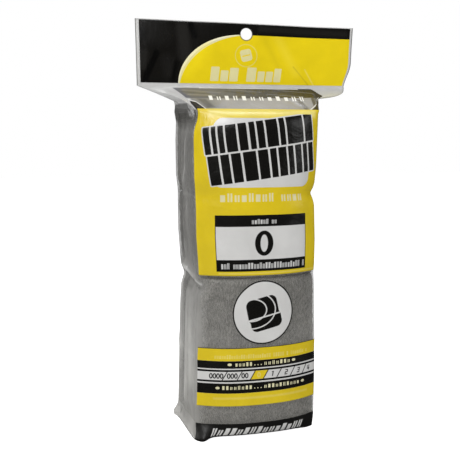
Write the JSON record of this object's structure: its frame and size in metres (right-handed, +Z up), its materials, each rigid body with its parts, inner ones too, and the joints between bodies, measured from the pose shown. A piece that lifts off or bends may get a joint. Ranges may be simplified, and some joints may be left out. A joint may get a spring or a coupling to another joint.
{
  "type": "pack of steel wool pads",
  "caption": "Clear film bag with a printed front panel and a flat hang-up header, holding folded steel wool pads stacked in tiers for scouring and polishing.",
  "frame": {"origin": "centre of the bag's flat bottom, on the surface it stands on", "axes": "+Z up to the header, -Y out of the printed front, +X to the right as the front is seen"},
  "size_m": [0.18, 0.091, 0.336],
  "materials": {
    "film": "thin glossy polyethylene film, clear at the sides and back, printed with yellow, black and white fields on the front and the header",
    "wool": "matted grey steel fibres with a soft metallic glint"
  },
  "bodies": {
    "root": {"bag": "film", "pad_01": "wool", "pad_02": "wool", "pad_03": "wool", "pad_04": "wool", "pad_05": "wool", "pad_06": "wool", "pad_07": "wool", "pad_08": "wool", "pad_09": "wool", "pad_10": "wool", "pad_11": "wool", "pad_12": "wool", "pad_13": "wool", "pad_14": "wool", "pad_15": "wool", "pad_16": "wool"}
  },
  "joints": []
}
